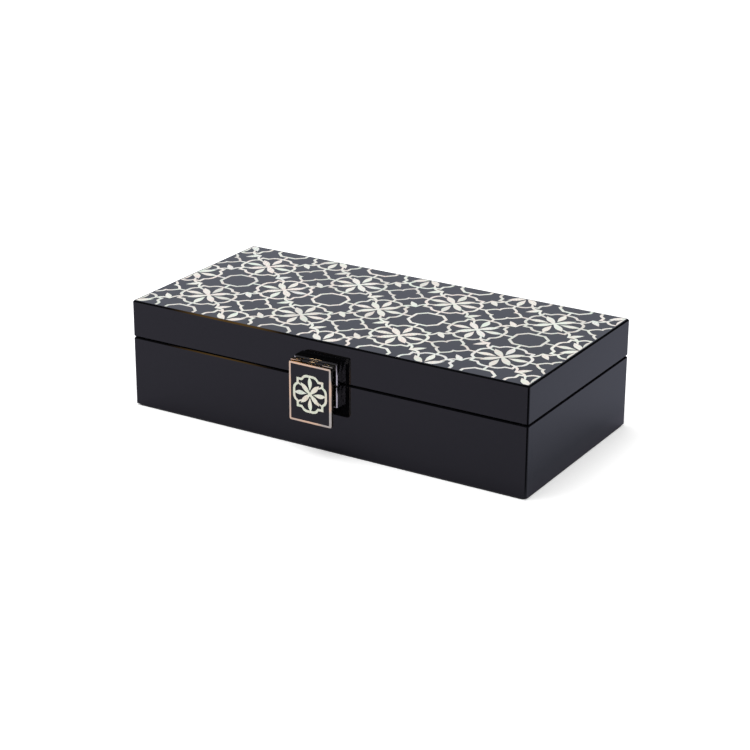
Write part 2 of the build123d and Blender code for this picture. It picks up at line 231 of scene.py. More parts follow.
print("fibre nap:", len(nap.nodes), "nodes")

# %% [markdown]
# ## Black lacquer and the other polished finishes
#
# The box is sprayed black and rubbed until it mirrors its surroundings. A black colour alone looks
# like soot: what makes lacquer is the clear reflection, so the base is nearly black, the roughness is
# low, and the polish marks only just move the normal. One function makes all the polished finishes.

# %% One function for all polished finishes
MICRON = 0.001 * MM
DARKER_TONE, LIGHTER_TONE = 0.4, 0.6        # where on the noise the two tones of a finish begin


def polished(name, tones, roughness, spread, bump, marks=None, toned_by="Mask", **shader_values):
    """Finish with polish marks: two tones, a roughness that varies by spread, and a bump in metres."""
    material, tree, shader = start_material(name, **shader_values)
    group = use_group(tree, polish, **(marks or {}))
    colour = ramp(tree, group.outputs[toned_by], (DARKER_TONE, tones[0]), (LIGHTER_TONE, tones[1]))
    tree.links.new(colour, shader.inputs["Base Color"])
    shine = add(tree, "ShaderNodeMapRange", {"To Min": roughness, "To Max": roughness + spread})
    tree.links.new(group.outputs["Mask"], shine.inputs["Value"])
    tree.links.new(shine.outputs["Result"], shader.inputs["Roughness"])
    relief = add(tree, "ShaderNodeBump", {"Strength": 1.0, "Distance": bump})
    tree.links.new(group.outputs["Height"], relief.inputs["Height"])
    tree.links.new(relief.outputs["Normal"], shader.inputs["Normal"])
    return material

# %% Lacquers
LACQUER = dict(IOR=1.335)       # sets how strongly the walls mirror the floor, as in the photograph

black_lacquer = polished("black_lacquer", ((0.0012, 0.0012, 0.0016), (0.0022, 0.0022, 0.0028)),
                         roughness=0.02, spread=0.02, bump=2 * MICRON, **LACQUER)
panel_lacquer = polished("panel_lacquer", ((0.002, 0.002, 0.0026), (0.003, 0.003, 0.004)),
                         roughness=0.04, spread=0.03, bump=3 * MICRON, marks=dict(Wave_Scale=220.0),
                         **LACQUER)
print("lacquers:", black_lacquer.name, panel_lacquer.name)

# %% [markdown]
# Metal is the same function with Metallic at 1, so that its two tones colour the reflection. On the
# flap the tones follow the slow waves, which is how its frame turns from warm to neutral in places: the
# neutral tone is the nickel's own, and the warm copper tone is a painted warm reflection.
# Hinges, screws and magnet are only plated, so they are rougher and their hairlines show more.

# %% Metals
METAL = dict(Metallic=1.0)
BUFFED = dict(Wave_Scale=90.0, Hairline_Scale=1800.0)
BRUSHED_ACROSS = dict(Hairline_Scale=2600.0, Hairline_Stretch=(0.05, 1.0, 1.0))

# flap nickel: the first tone is its own, the second is a painted warm reflection, spread by the slow
# waves
polished_nickel = polished("polished_nickel", ((0.48, 0.46, 0.36), (0.76, 0.54, 0.33)),
                           roughness=0.05, spread=0.04, bump=0.8 * MICRON, marks=BUFFED,
                           toned_by="Waves", **METAL)
housing_nickel = polished("housing_nickel", ((0.42, 0.40, 0.38), (0.50, 0.48, 0.45)),
                          roughness=0.05, spread=0.04, bump=0.8 * MICRON, marks=BUFFED, **METAL)
hinge_metal = polished("hinge_metal", ((0.62, 0.61, 0.60), (0.72, 0.71, 0.69)),
                       roughness=0.16, spread=0.12, bump=4 * MICRON, marks=BRUSHED_ACROSS, **METAL)
steel = polished("steel", ((0.50, 0.50, 0.51), (0.60, 0.60, 0.60)),
                 roughness=0.22, spread=0.12, bump=4 * MICRON, marks=dict(Hairline_Scale=2200.0),
                 **METAL)
magnet = polished("magnet", ((0.38, 0.38, 0.39), (0.46, 0.46, 0.46)),
                  roughness=0.26, spread=0.14, bump=5 * MICRON, marks=dict(Hairline_Scale=1500.0),
                  **METAL)
print("metals:", *(m.name for m in (polished_nickel, housing_nickel, hinge_metal, steel, magnet)))

# %% [markdown]
# ## Mother-of-pearl
#
# Shell is cut into thin strips and leaves, and no two come from the same place in the shell, so each
# piece has its own tone, and its growth bands run their own way. That can't be read from a position
# alone, so every piece later stores a tone from 0 to 1 in an attribute, and the material turns it
# into cream, rose, green or silver. Fine bands and soft clouds of rose and green are drawn over that,
# and a thin film tints the gloss.

# %% Tones of the shell
TONE = "shell_tone"
TONES = ((0.0, (0.66, 0.63, 0.55)), (0.3, (0.81, 0.77, 0.67)), (0.5, (0.82, 0.73, 0.65)),
         (0.7, (0.75, 0.78, 0.67)), (0.85, (0.83, 0.79, 0.70)), (1.0, (0.73, 0.72, 0.67)))
BAND_TINTS = (0.0, (0.86, 0.88, 0.86)), (0.5, (1.0, 0.96, 0.94)), (1.0, (1.0, 1.0, 1.0))
CLOUD_TINTS = (0.34, (1.0, 0.86, 0.82)), (0.5, (1.0, 1.0, 1.0)), (0.66, (0.86, 1.0, 0.90))
BAND_STRENGTH, CLOUD_STRENGTH = 0.8, 0.55
BAND_SHINE = {"To Min": 0.16, "To Max": 0.30}       # roughness, which follows the bands
FILM = dict(Thin_Film_Thickness=420.0, Thin_Film_IOR=1.7)       # the thickness is in nanometres
print(len(TONES), "tones of shell")

# %% Mother-of-pearl
mother_of_pearl, tree, shader = start_material("mother_of_pearl", IOR=1.55, Coat_Weight=0.3,
                                               Coat_Roughness=0.04, **FILM)
tone = add(tree, "ShaderNodeAttribute", attribute_name=TONE)
piece_colour = ramp(tree, tone.outputs["Fac"], *TONES)
coordinates = add(tree, "ShaderNodeTexCoord")
turn = add(tree, "ShaderNodeVectorRotate", rotation_type="Z_AXIS")
whole_turn = add(tree, "ShaderNodeMath", {1: 2 * math.pi}, operation="MULTIPLY")
bands = add(tree, "ShaderNodeTexWave",
            {"Scale": 160.0, "Distortion": 6.0, "Detail": 3.0, "Detail Scale": 1.5})
banded = add(tree, "ShaderNodeMix", {"Factor": BAND_STRENGTH}, data_type="RGBA", blend_type="MULTIPLY")
clouds = add(tree, "ShaderNodeTexNoise", {"Scale": 260.0, "Detail": 1.0})
clouded = add(tree, "ShaderNodeMix", {"Factor": CLOUD_STRENGTH}, data_type="RGBA", blend_type="MULTIPLY")
shine = add(tree, "ShaderNodeMapRange", BAND_SHINE)
for start, end in ((tone.outputs["Fac"], whole_turn.inputs[0]),
                   (whole_turn.outputs["Value"], turn.inputs["Angle"]),
                   (coordinates.outputs["Object"], turn.inputs["Vector"]),
                   (turn.outputs["Vector"], bands.inputs["Vector"]),
                   (piece_colour, banded.inputs[6]),
                   (ramp(tree, bands.outputs["Fac"], *BAND_TINTS), banded.inputs[7]),
                   (coordinates.outputs["Object"], clouds.inputs["Vector"]),
                   (banded.outputs[2], clouded.inputs[6]),
                   (ramp(tree, clouds.outputs["Fac"], *CLOUD_TINTS), clouded.inputs[7]),
                   (clouded.outputs[2], shader.inputs["Base Color"]),
                   (bands.outputs["Fac"], shine.inputs["Value"]),
                   (shine.outputs["Result"], shader.inputs["Roughness"])):
    tree.links.new(start, end)
print("mother-of-pearl:", len(tree.nodes), "nodes")

# %% [markdown]
# ## Suede, felt and the bottom board
#
# The inside is lined with taupe suede cloth, and a thin felt under the box saves the table. Both use
# the nap. Sheen on the shader adds the pale edge that a pile has when light grazes it. The bottom
# board is thin plywood that is stained and not lacquered, so it shows its grain.

# %% Cloth finishes
FIBRE_SHARE, PATCH_SHARE = 0.45, 0.55       # of the blend that picks between dark and light


def napped(name, dark, light, bump, patch_scale, **shader_values):
    """Cloth with a pile: dark and light are its colours, and the bump is in metres."""
    material, tree, shader = start_material(name, Roughness=0.95, **shader_values)
    group = use_group(tree, nap, Patch_Scale=patch_scale)
    blend = add(tree, "ShaderNodeMath", {1: FIBRE_SHARE}, operation="MULTIPLY_ADD")
    tree.links.new(group.outputs["Fibres"], blend.inputs[0])
    brushed = add(tree, "ShaderNodeMath", {1: PATCH_SHARE}, operation="MULTIPLY")
    tree.links.new(group.outputs["Patches"], brushed.inputs[0])
    tree.links.new(brushed.outputs["Value"], blend.inputs[2])
    colour = ramp(tree, blend.outputs["Value"], (0.35, dark), (0.65, light))
    tree.links.new(colour, shader.inputs["Base Color"])
    relief = add(tree, "ShaderNodeBump", {"Strength": 1.0, "Distance": bump})
    tree.links.new(group.outputs["Fibres"], relief.inputs["Height"])
    tree.links.new(relief.outputs["Normal"], shader.inputs["Normal"])
    return material


lining_suede = napped("lining_suede", (0.15, 0.137, 0.13), (0.28, 0.258, 0.245), bump=0.4 * MM,
                      patch_scale=30.0, Sheen_Weight=0.35, Sheen_Roughness=0.4)
felt = napped("felt", (0.010, 0.010, 0.011), (0.030, 0.030, 0.033), bump=0.5 * MM,
              patch_scale=60.0, Sheen_Weight=0.25, Sheen_Roughness=0.5)
print("cloth:", lining_suede.name, felt.name)

# %% Stained board
bottom_board, tree, shader = start_material("bottom_board", Roughness=0.6)
coordinates = add(tree, "ShaderNodeTexCoord")
along = add(tree, "ShaderNodeMapping", {"Scale": (0.08, 1.0, 1.0)})     # draws the grain out along X
grain = add(tree, "ShaderNodeTexNoise",
            {"Scale": 400.0, "Detail": 6.0, "Roughness": 0.65, "Distortion": 0.4})
tree.links.new(coordinates.outputs["Object"], along.inputs["Vector"])
tree.links.new(along.outputs["Vector"], grain.inputs["Vector"])
stain = ramp(tree, grain.outputs["Fac"], (0.3, (0.030, 0.025, 0.021)), (0.7, (0.066, 0.057, 0.049)))
tree.links.new(stain, shader.inputs["Base Color"])
print("wood:", bottom_board.name)

# %% [markdown]
# ## Putting the finishes on the frame
#
# The record says which finish each part has. A CAD mesh brings its own plain material, so the slot
# is filled with ours, and nothing else about the part is touched. The clasp's housing is plated
# darker than its flap, so it gets a nickel of its own.

# %% Finishes on the CAD parts
HOUSING = "latch_hinge_block", "latch_catch_block"

finishes = {m.name: m for m in (black_lacquer, panel_lacquer, polished_nickel, hinge_metal, steel,
                                magnet, mother_of_pearl, lining_suede, felt, bottom_board)}
slot_of = {part["node"]: part["material_slot"] for part in frame["record"]["subparts"]}
for name, node in nodes.items():
    node.data.materials.clear()
    node.data.materials.append(finishes[slot_of[name]])
for name in HOUSING:
    nodes[name].data.materials[0] = housing_nickel
print({slot: sum(1 for s in slot_of.values() if s == slot) for slot in sorted(set(slot_of.values()))})

# %% [markdown]
# ## Piece tools
#
# Each new piece starts as a bmesh, is shaped there by operators, and becomes an object only at the
# end, with its place in its mesh. That keeps the object at the origin, where the Object coordinates
# of the materials agree with the frame's own. The helpers below make that object, a plain block, a
# rounded edge and smooth shading.

# %% Helpers for pieces
def add_piece(name, bm, material, body):
    """Turns a bmesh into a piece that rides on a body and has the finish that it is given."""
    bmesh.ops.recalc_face_normals(bm, faces=bm.faces)
    mesh = bpy.data.meshes.new(name)
    bm.to_mesh(mesh)
    bm.free()
    mesh.materials.append(material)
    piece = bpy.data.objects.new(name, mesh)
    bpy.context.scene.collection.objects.link(piece)
    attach(piece, body)
    return piece


def block(low, high):
    """A bmesh box between two corners."""
    bm = bmesh.new()
    size = Vector(high) - Vector(low)
    bmesh.ops.create_cube(bm, size=1.0, matrix=Matrix.Translation((Vector(low) + Vector(high)) / 2)
                          @ Matrix.Diagonal((*size, 1)))
    return bm


def soften(bm, edges, width, segments):
    """Rounds edges to a radius."""
    bmesh.ops.bevel(bm, geom=edges, offset=width, segments=segments, profile=0.5,
                    affect="EDGES", material=-1)


def smooth_shade(piece, angle=35):
    """Smooth shading that keeps edges sharper than an angle."""
    for face in piece.data.polygons:
        face.use_smooth = True
    piece.data.set_sharp_from_angle(angle=math.radians(angle))


def body_of(node):
    """The body that a CAD part rides on."""
    return nodes[node]["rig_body"]

# %% [markdown]
# ## Shell pieces with round outlines
#
# The frame's shells run straight from corner to corner, but a fretsaw leaves curves. Subdividing and
# smoothing the mesh would round the barbs away too. A Bezier curve can tell the two apart: its
# points take smooth handles where the outline only bends a little, and straight ones at tips and
# barbs. So the border of each shell's face is read as a closed loop of points, all the loops of a part
# become one flat curve, and Blender fills it, thickens it and widens it by a hair.

# %% Read the borders of the shells' faces
MERGE = 0.002 * MM              # points nearer than this are one
THAT_WAY = 0.9                  # a face looks along a direction from this cosine up
SHELLS = ("inlay_rings", "inlay_petals", "inlay_crosses", "inlay_octagons", "inlay_stars", "inlay_stems",
          "inlay_links", "flap_rosette_ring", "flap_rosette_petals", "flap_rosette_cross")


def merged_copy(node):
    """A part's mesh with its loose triangles joined."""
    bm = bmesh.new()
    bm.from_mesh(nodes[node].data)
    bmesh.ops.remove_doubles(bm, verts=bm.verts, dist=MERGE)
    bm.normal_update()
    return bm


def face_borders(bm, outward):
    """Closed loops of points round the faces that look outward, each with its face on the left."""
    shown = [f.normal.dot(outward) > THAT_WAY for f in bm.faces]
    bm.faces.index_update()
    following = {}
    for face in bm.faces:
        for corner in face.loops:
            if shown[face.index] and sum(shown[f.index] for f in corner.edge.link_faces) == 1:
                following[corner.vert] = corner.link_loop_next.vert
    borders = []
    while following:
        start, here = following.popitem()
        border = [start.co.copy()]
        while here is not start:
            border.append(here.co.copy())
            here = following.pop(here)
        borders.append(border)
    return borders


print(len(SHELLS), "kinds of shell to read")

# %% [markdown]
# The lattice's border cuts through shells on all four sides. A scrap under a millimetre wide would
# break under the saw, so the borders of such scraps are left out. At either end the lattice's border
# runs along the spine of a ring's upright petals, which leaves half of each. Those halves are drawn
# after the upright petals of the middle column, moved to the end and flattened on the border.

# %% Scraps and half petals at the border
SLIVER = 0.8 * MM
MIDDLE_COLUMN = 0.8 * MM        # how near the middle line the upright petals of that column lie
PAST_THE_BORDER = 0.35 * MM     # from the lattice's border to the spine of the petals that it halves


def narrowest(border):
    """The smaller of a border's two extents."""
    return min(max(p[axis] for p in border) - min(p[axis] for p in border) for axis in (0, 1))


def half_petals(borders, reach):
    """Halves of the upright petals at both ends of the lattice; reach is half its length."""
    upright = [b for b in borders if abs(sum(p.x for p in b) / len(b)) < MIDDLE_COLUMN]
    halves = []
    for side in (-1, 1):
        shift = side * (reach + PAST_THE_BORDER)
        halves += [[Vector((max(-reach, min(reach, p.x + shift)), p.y, p.z)) for p in b]
                   for b in upright]
    return halves

# %% Draw the borders as one flat curve
GENTLE_TURN = math.radians(42)  # sharper corners stay corners
CURVE_STEPS = 4                 # straight runs between two points of the curve
SAW_SPREAD = 0.125 * MM         # how far a shell's sides stand outside the frame's


def flat_curve_mesh(name, borders, thickness):
    """Mesh of a filled curve in the XY plane, centred on it in height."""
    data = bpy.data.curves.new(name, "CURVE")
    data.dimensions, data.fill_mode = "2D", "BOTH"
    data.resolution_u = CURVE_STEPS
    data.extrude = thickness / 2
    data.offset = SAW_SPREAD
    for border in borders:
        spline = data.splines.new("BEZIER")
        spline.bezier_points.add(len(border) - 1)
        spline.use_cyclic_u = True
        for knot, point in zip(spline.bezier_points, border):
            knot.co = point
        for k, knot in enumerate(spline.bezier_points):
            before, after = border[k - 1], border[(k + 1) % len(border)]
            turn_angle = (border[k] - before).angle(after - border[k])
            kind = "AUTO" if turn_angle < GENTLE_TURN else "VECTOR"
            knot.handle_left_type = knot.handle_right_type = kind
    carrier = bpy.data.objects.new(name, data)
    mesh = bpy.data.meshes.new_from_object(carrier)
    bpy.data.objects.remove(carrier)
    bpy.data.curves.remove(data)
    return mesh

# %% [markdown]
# ## A tone for each shell
#
# The new shells of one part are a single mesh, but a tone has to be stored on each separate piece.
# Once touching faces are merged, every island of connected faces is one piece of shell. A walk over
# the neighbours finds the islands, and each gets one random tone, from a seeded generator so that
# every run gives the same lid. Where two shells meet they now overlap by a hair, so the kinds are
# seated a few thousandths of a millimetre apart, and no two faces share one plane.

# %% Find the separate pieces and tone them
chance = random.Random(7)


def islands(bm):
    """Groups of connected faces."""
    left, found = set(bm.faces), []
    for face in bm.faces:
        if face not in left:
            continue
        group, to_visit = [], [face]
        left.discard(face)
        while to_visit:
            here = to_visit.pop()
            group.append(here)
            for neighbour in {f for e in here.edges for f in e.link_faces} & left:
                left.discard(neighbour)
                to_visit.append(neighbour)
        found.append(group)
    return found


def tone_pieces(bm):
    """Stores one random tone on all faces of each piece, and gives back how many pieces there are."""
    layer = bm.faces.layers.float.new(TONE)
    groups = islands(bm)
    for group in groups:
        value = chance.random()
        for face in group:
            face[layer] = value
    return len(groups)

# %% Lay shells in their bed
SEAT_STEP = 0.004 * MM
SEATS_BELOW = dict(inlay_stems=2, inlay_petals=1, inlay_links=1, inlay_crosses=1,
                   flap_rosette_petals=1, flap_rosette_cross=1)
TO_CLASP = Matrix.Rotation(math.pi / 2, 4, "X")     # turns the XY plane to face the front


def bed_of(node, seats_below):
    """Thickness of a part's shells, their middle's height over their plane, and that plane's turn."""
    low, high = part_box(node)
    on_lid = node.startswith("inlay")
    thickness = high.z - low.z if on_lid else high.y - low.y
    seat = (high.z if on_lid else -low.y) - thickness / 2 - seats_below * SEAT_STEP
    return thickness, seat, Matrix.Identity(4) if on_lid else TO_CLASP


def lay_shells(name, borders, bed, body):
    """Shell pieces cut from flat borders, turned into place and toned one by one."""
    thickness, seat, from_plane = bed
    flat = flat_curve_mesh(name, borders, thickness)
    bm = bmesh.new()
    bm.from_mesh(flat)
    bpy.data.meshes.remove(flat)
    bmesh.ops.remove_doubles(bm, verts=bm.verts, dist=MERGE)
    bmesh.ops.transform(bm, matrix=from_plane @ Matrix.Translation((0, 0, seat)), verts=bm.verts)
    count = tone_pieces(bm)
    shells = add_piece(name, bm, mother_of_pearl, body)
    print(name, count, "pieces of shell,", len(shells.data.polygons), "faces")
    return shells


for node in SHELLS:
    bed = bed_of(node, SEATS_BELOW.get(node, 0))
    source = merged_copy(node)
    bmesh.ops.transform(source, matrix=bed[2].inverted(), verts=source.verts)
    borders = [b for b in face_borders(source, Vector((0, 0, 1))) if narrowest(b) > SLIVER]
    source.free()
    if node == "inlay_petals":
        borders += half_petals(borders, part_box("inlay_rings")[1].x)
    borders = [[p.xy.to_3d() for p in border] for border in borders]
    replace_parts(lay_shells(f"shell_{node}", borders, bed, body_of(node)), node)

# %% [markdown]
# ## Hooks inside the medallions
#
# In every medallion four short hooks tie the diagonal petals to the ring, beside its upper and lower
# lobes in one half of the medallions and beside its side lobes in the other. They are drawn as a
# tapered strip through three points, given as shares of the medallion's reach, and cut from shell by
# the same flat curve. Only hooks that lie wholly inside the lattice's border are made.

# %% Shape of a hook
HOOK = (0.54, 0.776), (0.485, 0.655), (0.415, 0.52)     # from the ring to a petal's side
HOOK_WIDTHS = 0.075, 0.065, 0.035                       # in the same shares


def hook_border(centre, reach, quadrant, turned):
    """Closed loop of points round one hook, with the hook on its left."""
    line = [Vector((y, x) if turned else (x, y)) for x, y in HOOK]
    line = [Vector((p.x * quadrant[0], p.y * quadrant[1])) * reach for p in line]
    sides = []
    for k, (point, width) in enumerate(zip(line, HOOK_WIDTHS)):
        along = (line[min(k + 1, 2)] - line[max(k - 1, 0)]).normalized()
        sides.append((point, Vector((-along.y, along.x)) * width * reach / 2))
    right_side = [centre + point - across for point, across in sides]
    left_side = [centre + point + across for point, across in reversed(sides)]
    return [p.to_3d() for p in right_side + left_side]


print("a hook has", len(hook_border(Vector((0, 0)), 1.0, (1, 1), False)), "border points")

# %% Hooks on the lid
LATTICE = Vector((31.25, 30.2)) * MM        # steps between the medallions' columns and rows
COLUMNS, ROWS = range(-4, 5), range(-2, 3)
MEDALLION_REACH = 15.6 * MM
HOOKS_BELOW = 3
QUADRANTS = [(x, y) for x in (-1, 1) for y in (-1, 1)]

low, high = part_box("inlay_rings")
borders = []
for i in COLUMNS:
    for j in ROWS:
        if i % 2 == j % 2:                  # every second crossing of rows and columns has a medallion
            centre = Vector((i * LATTICE.x, j * LATTICE.y))
            hooks = [hook_border(centre, MEDALLION_REACH, q, i % 2 == 1) for q in QUADRANTS]
            borders += [b for b in hooks
                        if all(low.x < p.x < high.x and low.y < p.y < high.y for p in b)]
lay_shells("shell_hooks", borders, bed_of("inlay_rings", HOOKS_BELOW), "lid")

# %% Hooks on the clasp
ROSETTE_REACH = 10.0 * MM

low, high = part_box("flap_rosette_ring")
centre = Vector(((low.x + high.x) / 2, (low.z + high.z) / 2))
borders = [hook_border(centre, ROSETTE_REACH, q, True) for q in QUADRANTS]
lay_shells("shell_flap_hooks", borders, bed_of("flap_rosette_ring", HOOKS_BELOW), "latch_flap")

# %% [markdown]
# ## Lacquer between the shells
#
# The shells are glued on the board, lacquer is poured between them until they are covered, and the
# whole is rubbed back until the shell shows again. So the lid is one flat mirror with the shells in
# it. Cutting several hundred outlines out of a plate is slow and fragile. A plain plate that ends two
# hundredths of a millimetre below the shells' faces looks the same, because lacquer hides the rest.

# %% Lacquer field of the lid
RUB_DOWN = 0.02 * MM            # how far the highest shells stand above the lacquer


def extent(names):
    """Corners of the box round several parts."""
    corners = [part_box(name) for name in names]
    low = Vector(min(c[0][axis] for c in corners) for axis in range(3))
    high = Vector(max(c[1][axis] for c in corners) for axis in range(3))
    return low, high


low, high = extent([name for name in SHELLS if name.startswith("inlay")])
add_piece("lid_lacquer_field", block(low, (high.x, high.y, high.z - RUB_DOWN)), black_lacquer, "lid")
print("lid field", [round(v / MM, 2) for v in high - low], "mm")

# %% [markdown]
# The clasp's rosette is set in the same way, so its panel gets a layer of lacquer up to the faces of
# its shells, a little smaller than the metal tray that holds it.

# %% Lacquer field of the clasp
low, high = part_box("flap_panel")
shell_front = extent([name for name in SHELLS if name.startswith("flap")])[0].y
add_piece("clasp_lacquer_field", block((low.x, shell_front + RUB_DOWN, low.z), (high.x, low.y, high.z)),
          panel_lacquer, body_of("flap_panel"))
print("clasp field", round((low.y - shell_front - RUB_DOWN) / MM, 2), "mm thick")

# %% [markdown]
# ## Eased edges on the clasp
#
# No polished metal edge is razor sharp. Buffing leaves a narrow round, and that round is what draws
# the bright lines along the clasp. The frame's parts have sharp edges there, so each is copied, its
# sharp edges are bevelled by a fraction of a millimetre, and the copy takes the part's place.

# %% Clasp parts with eased edges
EASE = 0.22 * MM
SHARP = math.radians(35)        # the turn from which an edge counts as sharp


def eased_copy(node, metal):
    """Copy of a metal part with its sharp edges rounded a little."""
    bm = merged_copy(node)
    sharp = [e for e in bm.edges if len(e.link_faces) == 2 and e.calc_face_angle() > SHARP]
    bmesh.ops.bevel(bm, geom=sharp, offset=EASE, segments=2, profile=0.5, affect="EDGES", material=-1,
                    clamp_overlap=True)
    piece = add_piece(f"eased_{node}", bm, metal, body_of(node))
    smooth_shade(piece)
    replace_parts(piece, node)
    print(node, len(sharp), "sharp edges eased,", len(piece.data.polygons), "faces")


eased_copy("flap_tray", polished_nickel)
for name in HOUSING:
    eased_copy(name, housing_nickel)

# %% [markdown]
# ## Suede lining
#
# The lining boards are thin card wrapped in suede, so their top edges are round and soft. A sharp box
# would look like painted wood. Each board is remade from its own box in the frame, with its edges
# rounded, and the CAD board is hidden.

# %% Lining boards
LINING_ROUND = 0.6 * MM
LINING = [name for name in nodes if name.startswith(("lining_", "lid_liner_"))]

for node in LINING:
    bm = block(*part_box(node))
    soften(bm, bm.edges[:], LINING_ROUND, segments=4)
    board = add_piece(f"suede_{node}", bm, lining_suede, body_of(node))
    smooth_shade(board)
    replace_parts(board, node)
print(len(LINING), "lining boards")

# %% [markdown]
# ## Cushions in the floor and the lid
#
# Under the suede of the floor lies a thin sheet of foam, and a thinner one pads the lid. The suede is
# drawn over the edges and glued below, which pulls the rim down and leaves the middle proud. A cloth
# simulation would need thousands of points for less than two millimetres of crown, so the pad is
# shaped directly. Planes cut rows of points into a block, close together near the rim, where the
# surface bends, and the rows are then lowered along a curve and drawn in, most in the middle of each
# side, so that the corners stand out a little, as a cushion's do.

# %% Pads with rows of points
RIM_ROWS = [row * MM for row in (0.4, 0.9, 1.6, 2.6, 4.0, 6.0, 9.0)]   # distances from the pad's edge
RIM_WIDTH = RIM_ROWS[-1]
FIELD_STEP = 9 * MM             # between the rows in the middle of the pad
RIM_POWER = 2.6                 # how late the surface bends down towards the rim
PULL_FROM, PULL_OVER = 0.8, 0.2     # the sides are drawn in from here on, as shares of the half width


def cut_rows(bm, places, axis):
    """Cuts a row of points across the whole mesh at each place along an axis."""
    direction = Vector(1.0 if axis == k else 0.0 for k in range(3))
    for place_of_row in places:
        bmesh.ops.bisect_plane(bm, geom=[*bm.verts, *bm.edges, *bm.faces], dist=1e-7,
                               plane_co=direction * place_of_row, plane_no=direction)


def pad_with_rows(low, high):
    """Block cut into rows of points, close together near its rim."""
    bm = block(low, high)
    for axis in (0, 1):
        inner = [low[axis] + row for row in RIM_ROWS] + [high[axis] - row for row in RIM_ROWS]
        span = high[axis] - low[axis] - 2 * RIM_WIDTH
        count = round(span / FIELD_STEP)
        inner += [low[axis] + RIM_WIDTH + span * k / count for k in range(1, count)]
        cut_rows(bm, inner, axis)
    return bm


print(len(RIM_ROWS), "rows of points along each rim")

# %% Crown the pads
PULL = 0.25 * MM                # how far the middle of each side is drawn in
ON_THE_FACE = 0.01 * MM         # how near to the free face its own points lie
CUSHIONS = (                    # name, node, the way its free face looks, and how far its rim drops
    ("floor_cushion", "floor_pad", 1, 1.4 * MM),
    ("ceiling_cushion", "ceiling_pad", -1, 1.2 * MM))


def drawn_in(here, across):
    """How far a point moves inwards; both places are shares of the half width, from -1 to 1."""
    return math.copysign(PULL * (1 - across ** 2) * max(0.0, abs(here) - PULL_FROM) / PULL_OVER, here)


def crowned_pad(node, side, rim_drop):
    """Pad whose free face falls off towards its rim; side is 1 where that face looks up, else -1."""
    low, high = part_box(node)
    bm = pad_with_rows(low, high)
    middle, half = (low + high) / 2, (high - low) / 2
    free_level = high.z if side > 0 else low.z
    for vert in bm.verts:
        if abs(vert.co.z - free_level) < ON_THE_FACE:
            to_edges = (min(vert.co[axis] - low[axis], high[axis] - vert.co[axis]) for axis in (0, 1))
            vert.co.z -= side * rim_drop * max(max(0.0, 1 - to_edge / RIM_WIDTH) ** RIM_POWER
                                               for to_edge in to_edges)
        from_x, from_y = ((vert.co[axis] - middle[axis]) / half[axis] for axis in (0, 1))
        vert.co.y -= drawn_in(from_y, from_x)
        vert.co.x -= drawn_in(from_x, from_y)
    return bm


for name, node, side, rim_drop in CUSHIONS:
    cushion = add_piece(name, crowned_pad(node, side, rim_drop), lining_suede, body_of(node))
    smooth_shade(cushion, angle=60)
    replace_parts(cushion, node)
    print(name, len(cushion.data.polygons), "faces")

# %% [markdown]
# ## Felt under the box
#
# The felt is a single cut sheet, glued flat, with its corners cut round. Only its edge shows, as a
# thin matt line, so a block is enough: its four upright edges, the short ones, are rounded.

# %% Felt sheet
FELT_CORNER = 3 * MM

low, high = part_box("base_felt")
bm = block(low, high)
upright_edges = [e for e in bm.edges if e.calc_length() < 2 * (high.z - low.z)]
soften(bm, upright_edges, FELT_CORNER, segments=5)
felt_sheet = add_piece("felt_sheet", bm, felt, "base")
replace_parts(felt_sheet, "base_felt")
print("felt", [round(v / MM, 1) for v in high - low], "mm")

# %% [markdown]
# ## Screws
#
# Small slotted screws hold the hinge leaves and the two halves of the clasp's housing. A screw head
# is a round disc, so it starts as a cylinder. Two cutting planes mark out the slot, and the strip
# between them is pushed down. One function makes a head at the origin that looks along +Z, and a
# matrix puts it in place.

# %% One screw head
SUNK = 0.3 * MM                 # how deep a head reaches into what it holds
HEAD_ROUND, SLOT_DEPTH = 0.5, 0.7       # shares of the head's height
SLOT_HALF_WIDTH = 0.14          # share of its radius
LEVEL = 1e-7                    # how near to the top's height its own points lie


def screw_head(bm, radius, height, turned_by, matrix):
    """Adds a slotted head of a height above the surface; its slot is turned by an angle."""
    lift = Matrix.Translation((0, 0, (height - SUNK) / 2))
    head = bmesh.ops.create_cone(bm, cap_ends=True, segments=28, radius1=radius, radius2=radius,
                                 depth=height + SUNK, matrix=lift)
    verts = head["verts"]
    rim = {e for v in verts for e in v.link_edges if all(abs(w.co.z - height) < LEVEL for w in e.verts)}
    rounded = bmesh.ops.bevel(bm, geom=list(rim), offset=height * HEAD_ROUND, segments=3, profile=0.5,
                              affect="EDGES", material=-1)
    verts = list({v for v in verts if v.is_valid} | set(rounded["verts"]))
    slot_half = radius * SLOT_HALF_WIDTH
    for place_y in (-slot_half, slot_half):
        faces = {f for v in verts if v.is_valid for f in v.link_faces}
        edges = {e for f in faces for e in f.edges}
        cut = bmesh.ops.bisect_plane(bm, geom=[*verts, *edges, *faces], dist=1e-8,
                                     plane_co=(0, place_y, 0), plane_no=(0, 1, 0))
        verts = list({g for g in cut["geom"] if isinstance(g, bmesh.types.BMVert)})
    top = [f for f in {f for v in verts for f in v.link_faces}
           if f.normal.z > THAT_WAY and abs(f.calc_center_median().y) < slot_half * 0.9
           and abs(f.calc_center_median().z - height) < LEVEL]
    pushed = bmesh.ops.extrude_face_region(bm, geom=top)
    floor = [g for g in pushed["geom"] if isinstance(g, bmesh.types.BMVert)]
    bmesh.ops.delete(bm, geom=top, context="FACES")
    bmesh.ops.translate(bm, vec=(0, 0, -height * SLOT_DEPTH), verts=floor)
    verts = list({v for v in verts if v.is_valid} | set(floor))
    bmesh.ops.transform(bm, matrix=matrix @ Matrix.Rotation(turned_by, 4, "Z"), verts=verts)

